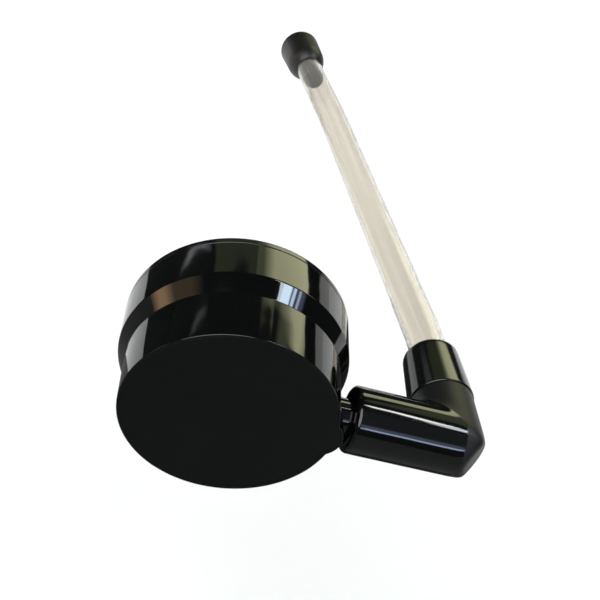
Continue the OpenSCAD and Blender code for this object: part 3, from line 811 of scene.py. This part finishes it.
dress(lever_elbow(), "lever_elbow", "rocker", "hub_plastic", "lever_hub")

# ---------------------------------------------------------------- handle: boot, tube and grip

BOOT_R, BOOT_SHOULDER_R, BOOT_H, BOOT_CUP_H, BOOT_ROUND = 18.6, 16.3, 39.5, 25.8, 4.5
BOOT_CUP_R, TUBE_FIT_R, RIM_ROUND, NECK_ROUND, BOOT_LIP_ROUND = 15.25, 11.29, 0.9, 0.4, 0.3
GRIP_R, GRIP_WAIST_R, BELL_H, BELL_R, GRIP_CUP_R, GRIP_CUP_H = 17.8, 16.8, 26.5, 25.0, 14.65, 25.0
GRIP_LIP_ROUND, BELL_STEPS, RUBBER_STEP = 0.5, 16, 2.5
TUBE_START, BEND_START, BEND_R = 23.05, 70.6, 190.0
HANDLE_MIDDLE, TOP_BEND, HANDLE_REACH, GRIP_SOCKET = 266.0, 2.1, 126.5, 12.0
FOOT_STEPS, BEND_STEPS, MIDDLE_STEPS, TOP_BEND_STEPS, TOP_STEPS = 10, 12, 30, 6, 14


def past_bend(height, degrees):
    """From a stretch of the handle to the stretch past a bend that starts at the height."""
    return shift(-BEND_R, 0, height) @ turn(-degrees, "Y") @ shift(BEND_R)


MIDDLE = LEG @ past_bend(BEND_START, TUBE_BEND)
TOP = MIDDLE @ past_bend(HANDLE_MIDDLE, TOP_BEND)


def handle_boot():
    """Rubber thimble over the leg's spigot, with a tight neck round the tube."""
    outline = rounded([
        (BOOT_CUP_R, 0, BOOT_LIP_ROUND), (BOOT_R, 0, RIM_ROUND), (BOOT_SHOULDER_R, BOOT_H, BOOT_ROUND),
        (TUBE_FIT_R, BOOT_H, NECK_ROUND), (TUBE_FIT_R, BOOT_CUP_H), (BOOT_CUP_R, BOOT_CUP_H),
    ])
    return lathe("boot", outline, LEG @ shift(z=LEG_STEP), step=RUBBER_STEP)


def handle_grip():
    """Bell-shaped rubber grip: open end outwards, closing in to the tube in one curve."""
    taper = math.atan((GRIP_R - GRIP_WAIST_R) / BELL_H)
    centre = Vector((GRIP_WAIST_R, BELL_H)) - BELL_R * Vector((math.cos(taper), math.sin(taper)))
    end = math.acos((TUBE_FIT_R - centre.x) / BELL_R)
    bell = [
        centre + BELL_R * Vector((math.cos(a), math.sin(a)))
        for a in (taper + (end - taper) * k / BELL_STEPS for k in range(1, BELL_STEPS + 1))
    ]
    outline = rounded([
        (GRIP_CUP_R, GRIP_CUP_H), (GRIP_CUP_R, 0, GRIP_LIP_ROUND),
        (GRIP_R, 0, RIM_ROUND), (GRIP_WAIST_R, BELL_H),
    ])
    outline += [*bell, Vector((TUBE_FIT_R, GRIP_CUP_H))]
    return lathe("grip", outline, TOP @ shift(z=HANDLE_REACH) @ turn(180, "X"), step=RUBBER_STEP)


def tube_stations():
    """Places along the cranked tube, each with its +Z along it."""
    foot = BEND_START - TUBE_START
    head = HANDLE_REACH - GRIP_SOCKET
    return [
        *(LEG @ shift(z=TUBE_START + foot * k / FOOT_STEPS) for k in range(FOOT_STEPS)),
        *(LEG @ past_bend(BEND_START, TUBE_BEND * k / BEND_STEPS) for k in range(BEND_STEPS)),
        *(MIDDLE @ shift(z=HANDLE_MIDDLE * k / MIDDLE_STEPS) for k in range(MIDDLE_STEPS)),
        *(MIDDLE @ past_bend(HANDLE_MIDDLE, TOP_BEND * k / TOP_BEND_STEPS) for k in range(TOP_BEND_STEPS)),
        *(TOP @ shift(z=head * k / TOP_STEPS) for k in range(TOP_STEPS + 1)),
    ]


def handle_tube():
    """The cranked tube with its bore, swept along its stations."""
    mesh = bmesh.new()

    def ring(place, radius):
        return [
            mesh.verts.new(place @ Vector((radius * math.cos(a), radius * math.sin(a), 0)))
            for a in (2 * math.pi * i / MEDIUM_FACETS for i in range(MEDIUM_FACETS))
        ]

    stations = tube_stations()
    rings = [ring(place, TUBE_R) for place in stations]
    rings += [ring(place, TUBE_R - TUBE_WALL) for place in reversed(stations)]
    for one, after in zip(rings, rings[1:] + rings[:1]):
        bridge(mesh, one, after)
    return solid("tube", mesh)


dress(handle_boot(), "handle_boot_rubber", "rocker", "boot_rubber", "handle_boot")
dress(handle_tube(), "handle_tube_clear", "handle", "clear_tube", "handle_tube")
dress(handle_grip(), "handle_grip_rubber", "handle", "boot_rubber", "handle_grip")

# ---------------------------------------------------------------- diaphragm

DISC_Y, DISC_T, DISC_HOLE_R = 38.2, 1.8, 3.1
FOLD_IN_R, FOLD_RISE, FOLD_STEPS = 26.0, 3.2, 12
BEAD_R, BEAD_T = 51.8, 3.0
SECTORS, SECTOR_STEPS = 12, 5


def fold_outline():
    """Half section of the diaphragm: disc between the plates, rolled fold and clamped bead."""
    middle = DISC_Y + DISC_T / 2
    rise = BEAD_Y + BEAD_T / 2 - middle
    fold = [
        (FOLD_IN_R + (CRANK_ROOM_R - FOLD_IN_R) * t, middle + rise * t + FOLD_RISE * math.sin(math.pi * t))
        for t in (k / FOLD_STEPS for k in range(FOLD_STEPS + 1))
    ]
    under = [(r, y - DISC_T / 2) for r, y in fold]
    over = [(r, y + DISC_T / 2) for r, y in reversed(fold)]
    top = BEAD_Y + BEAD_T
    bead = [(CRANK_ROOM_R, BEAD_Y), (BEAD_R, BEAD_Y), (BEAD_R, top), (CRANK_ROOM_R, top)]
    return [(DISC_HOLE_R, DISC_Y), *under, *bead, *over, (DISC_HOLE_R, DISC_Y + DISC_T)]


def diaphragm_sector(k):
    """One slice of the diaphragm, each slice a solid of its own."""
    mesh = bmesh.new()
    rings = []
    for step in range(SECTOR_STEPS + 1):
        a = 2 * math.pi * (k + step / SECTOR_STEPS) / SECTORS
        rings.append([mesh.verts.new((r * math.sin(a), y, r * math.cos(a))) for r, y in fold_outline()])
    for ring, after in zip(rings, rings[1:]):
        bridge(mesh, ring, after)
    mesh.faces.new(rings[0])
    mesh.faces.new(rings[-1])
    return solid("sector", mesh)


for k in range(SECTORS):
    sector = finished(diaphragm_sector(k), f"diaphragm_{k + 1}", "diaphragm_rubber", "diaphragm")
    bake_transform(sector)


# ---------------------------------------------------------------- camera


def aim():
    """The photo's view: right, up and forward axes from azimuth, depression and roll."""
    forward = Vector((
        math.sin(CAMERA_AZIMUTH) * math.cos(CAMERA_DOWN),
        math.cos(CAMERA_AZIMUTH) * math.cos(CAMERA_DOWN),
        -math.sin(CAMERA_DOWN),
    ))
    level = forward.cross(Vector((0, 0, 1))).normalized()
    rise = level.cross(forward)
    right = math.cos(CAMERA_ROLL) * level + math.sin(CAMERA_ROLL) * rise
    up = -math.sin(CAMERA_ROLL) * level + math.cos(CAMERA_ROLL) * rise
    return Matrix((right, up, -forward)).transposed().to_4x4()


def make_camera():
    lens = bpy.data.cameras.new("photo_camera")
    lens.lens, lens.sensor_width = CAMERA_LENS, CAMERA_SENSOR
    lens.clip_start, lens.clip_end = 0.01, 100.0
    camera = bpy.data.objects.new("photo_camera", lens)
    camera.matrix_world = Matrix.Translation(CAMERA_AT) @ aim()
    bpy.context.scene.collection.objects.link(camera)
    bpy.context.scene.camera = camera


# ---------------------------------------------------------------- floor, surroundings and lamps

FLOOR_Z, FLOOR_HALF = -0.33, 15.0       # clear of the grip when the lever is all the way down
BACKDROP_R, BACKDROP_TOP = 14.5, 9.0
FENCE_PATH = ((-0.30, 0.115), (-0.21, 0.19), (-0.19, 0.26), (0.045, 0.42))   # from above, metres
# the fence runs down to the height of the mats of painted shade
FENCE_TOP, SHADE_MAT_Z = 0.065, -0.0609
SHADE_MATS = (                       # painted shade on the floor, which only reflections see: each mat's corners from above, and its share of the floor's white
    (((-3.5, -3.5), (0.05, -3.5), (0.05, 0.09), (-0.13, 0.09), (-0.30, 0.15), (-3.5, 1.3)), 0.14),
    (((0.05, -3.5), (1.6, -3.5), (0.40, 0.0), (0.05, 0.0)), 0.22),
    (((0.05, 0.0), (0.19, 0.0), (0.19, 0.19), (0.05, 0.19)), 0.04),
)
ROOM_DIM = (0.040, 0.045, 0.045)

# A card is a lit panel of the surroundings. Places and sizes are in degrees as the object sees
# them, azimuth 0 is +Y and 90 is +X, tilt turns the card, and soft is the share of its half
# size over which each edge fades.
Card = namedtuple("Card", "azimuth elevation wide high colour tilt soft", defaults=(0, 0.1))
CARDS = [
    Card(140, 50, 70, 50, (0.17, 0.18, 0.19), 0, 0.3),       # grey wall behind the lever
    Card(-12.5, 33, 31, 8.4, (0.26, 0.32, 0.18), 14, 0.05),  # olive wall, lighter to the right
    Card(12, 34.5, 20, 12, (0.66, 0.74, 0.42), 0, 0.05),
    Card(41, 45, 28, 26, (0.55, 0.60, 0.38), 0, 0.12),
    Card(27, 27, 36, 13, (3.7, 3.7, 2.3), -28, 0.25),        # cream panel
    Card(38, 9, 26, 19, (0.02, 0.02, 0.02), 0, 0.03),        # dark frame below it
    Card(46, 0, 18, 14, (0.78, 0.78, 0.74), -14, 0.05),      # pale wall to the right
    Card(-84, 24, 16, 36, (0.75, 0.56, 0.34), 0, 0.3),       # tan curtain and its lit fold
    Card(-80, 9, 16, 15, (3.6, 2.3, 1.3), 0, 0.6),
    Card(157, 28, 14, 13, (1.1, 1.3, 1.9), 0, 0.3),          # window on the camera's side
    Card(157, 23, 14, 3.6, (7.5, 9.2, 12.8), 0, 0.5),
    Card(64, 68.2, 25, 3.4, (24, 24, 23.5), -4, 0.25),       # strip lamp overhead
    Card(84.5, 67.1, 17, 3.0, (15, 15.5, 16), -3, 0.25),
    Card(80.7, 56, 10, 22, (1.0, 1.2, 1.9), 0, 0.1),         # window with bars of daylight
    Card(80.7, 62.5, 10, 8.5, (15, 19, 23), 8, 0.2),
    Card(80.7, 55.3, 10, 2.6, (11, 13, 17), 12, 0.3),
    Card(80.7, 50.2, 10, 2.2, (6, 7.5, 9.5), 12, 0.3),
    Card(-34.3, 17.3, 15, 1.1, (1.3, 1.4, 1.45), 59, 0.4),   # thin streaks of light
    Card(-38.0, 25.6, 9.5, 0.8, (0.6, 0.65, 0.62), 49, 0.4),
]


def stage_sheet(name, corners, faces, colour, glow=0.0):
    """Sheets that are not part of the object: white paper, the dim fence, and the mats of painted shade.
    """
    mesh = bpy.data.meshes.new(name)
    mesh.from_pydata(corners, [], faces)
    sheet = bpy.data.objects.new(name, mesh)
    bpy.context.scene.collection.objects.link(sheet)
    n = material_nodes(name + "_paper")
    tone = n.mix(n.noise(300.0, 3.0), shade(colour, 0.99), colour)
    mesh.materials.append(
        n.surface(
            Base_Color=tone,
            Roughness=0.9,
            Specular_IOR_Level=0.1,
            Emission_Color=tone,
            Emission_Strength=glow,
        )
    )
    return sheet


def ring_corners(radius, z, count=96):
    turns = (2 * math.pi * i / count for i in range(count))
    return [(radius * math.cos(a), radius * math.sin(a), z) for a in turns]


def make_floor():
    """The pale floor, and a dim fence and mats that only reflections see, which cut its glare; the mats
    are painted shade, dark where the floor lies in shadow round the object.
    """
    h, z = FLOOR_HALF, FLOOR_Z
    stage_sheet("floor", [(-h, -h, z), (h, -h, z), (h, h, z), (-h, h, z)], [range(4)], FLOOR_WHITE)
    posts = [(*point, height) for point in FENCE_PATH for height in (SHADE_MAT_Z, FENCE_TOP)]
    panels = [(i, i + 1, i + 3, i + 2) for i in range(0, len(posts) - 2, 2)]
    flags = [stage_sheet("fence", posts, panels, ROOM_DIM)]
    # painted shade: dark mats where the floor round the object lies in shadow, seen only in reflections
    for i, (outline, level) in enumerate(SHADE_MATS):
        corners = [(x, y, SHADE_MAT_Z) for x, y in outline]
        flags.append(stage_sheet(f"mat_{i}", corners, [range(len(corners))], shade(FLOOR_WHITE, level)))
    for flag in flags:
        flag.visible_camera = flag.visible_diffuse = False
        flag.visible_shadow = flag.visible_transmission = False


def make_backdrop():
    """Plain white paper round the set, for the camera and through the tube; gloss sees the room."""
    corners = ring_corners(BACKDROP_R, FLOOR_Z) + ring_corners(BACKDROP_R, BACKDROP_TOP)
    half = len(corners) // 2
    panels = [(i, (i + 1) % half, (i + 1) % half + half, i + half) for i in range(half)]
    paper = stage_sheet("backdrop", corners, panels, FLOOR_WHITE, 1.0)
    paper.visible_diffuse = paper.visible_glossy = paper.visible_shadow = False


def lay_card(n, look, behind, card):
    """The colour seen in a direction, once the card hangs in front of what is behind it."""
    place = n.add("ShaderNodeMapping", vector_type="TEXTURE")
    place.inputs["Location"].default_value = (card.azimuth, card.elevation, 0)
    place.inputs["Rotation"].default_value = (0, 0, math.radians(card.tilt))
    place.inputs["Scale"].default_value = (card.wide / 2, card.high / 2, 1)
    n.link(look, place.inputs["Vector"])
    parts = n.add("ShaderNodeSeparateXYZ")
    n.link(place.outputs["Vector"], parts.inputs["Vector"])
    edges = [
        n.spread(n.math("ABSOLUTE", parts.outputs[axis]), 1 - card.soft, 1 + card.soft, 1, 0)
        for axis in "XY"
    ]
    return n.mix(n.math("MULTIPLY", *edges), behind, card.colour)


def make_world():
    """A dim room with the cards around it."""
    world = bpy.data.worlds.new("studio")
    n = Nodes(world, "Generated")
    way = n.add("ShaderNodeSeparateXYZ")
    n.link(n.coords, way.inputs["Vector"])
    degree = math.degrees(1)
    azimuth = n.math("MULTIPLY", n.math("ARCTAN2", way.outputs["X"], way.outputs["Y"]), degree)
    elevation = n.math("MULTIPLY", n.math("ARCSINE", way.outputs["Z"]), degree)
    look = n.add("ShaderNodeCombineXYZ")
    n.link(azimuth, look.inputs["X"])
    n.link(elevation, look.inputs["Y"])
    colour = ROOM_DIM
    for card in CARDS:
        colour = lay_card(n, look.outputs["Vector"], colour, card)
    background = n.add("ShaderNodeBackground")
    n.link(colour, background.inputs["Color"])
    n.link(background.outputs["Background"], n.add("ShaderNodeOutputWorld").inputs["Surface"])
    bpy.context.scene.world = world


def sun(name, azimuth, elevation, across, level):
    """A far round lamp, so many degrees across, that gives the floor that share of its light."""
    data = bpy.data.lights.new(name, "SUN")
    data.angle = math.radians(across)
    a, e = math.radians(azimuth), math.radians(elevation)
    data.energy = level * math.pi / math.sin(e)
    towards = Vector((math.sin(a) * math.cos(e), math.cos(a) * math.cos(e), math.sin(e)))
    obj = bpy.data.objects.new(name, data)
    obj.rotation_mode = "QUATERNION"
    obj.rotation_quaternion = towards.to_track_quat("Z", "Y")
    bpy.context.scene.collection.objects.link(obj)


make_camera()
make_floor()
make_backdrop()
make_world()
sun("fill", azimuth=220, elevation=50, across=60, level=0.84)

bpy.context.scene.view_settings.view_transform = "Standard"
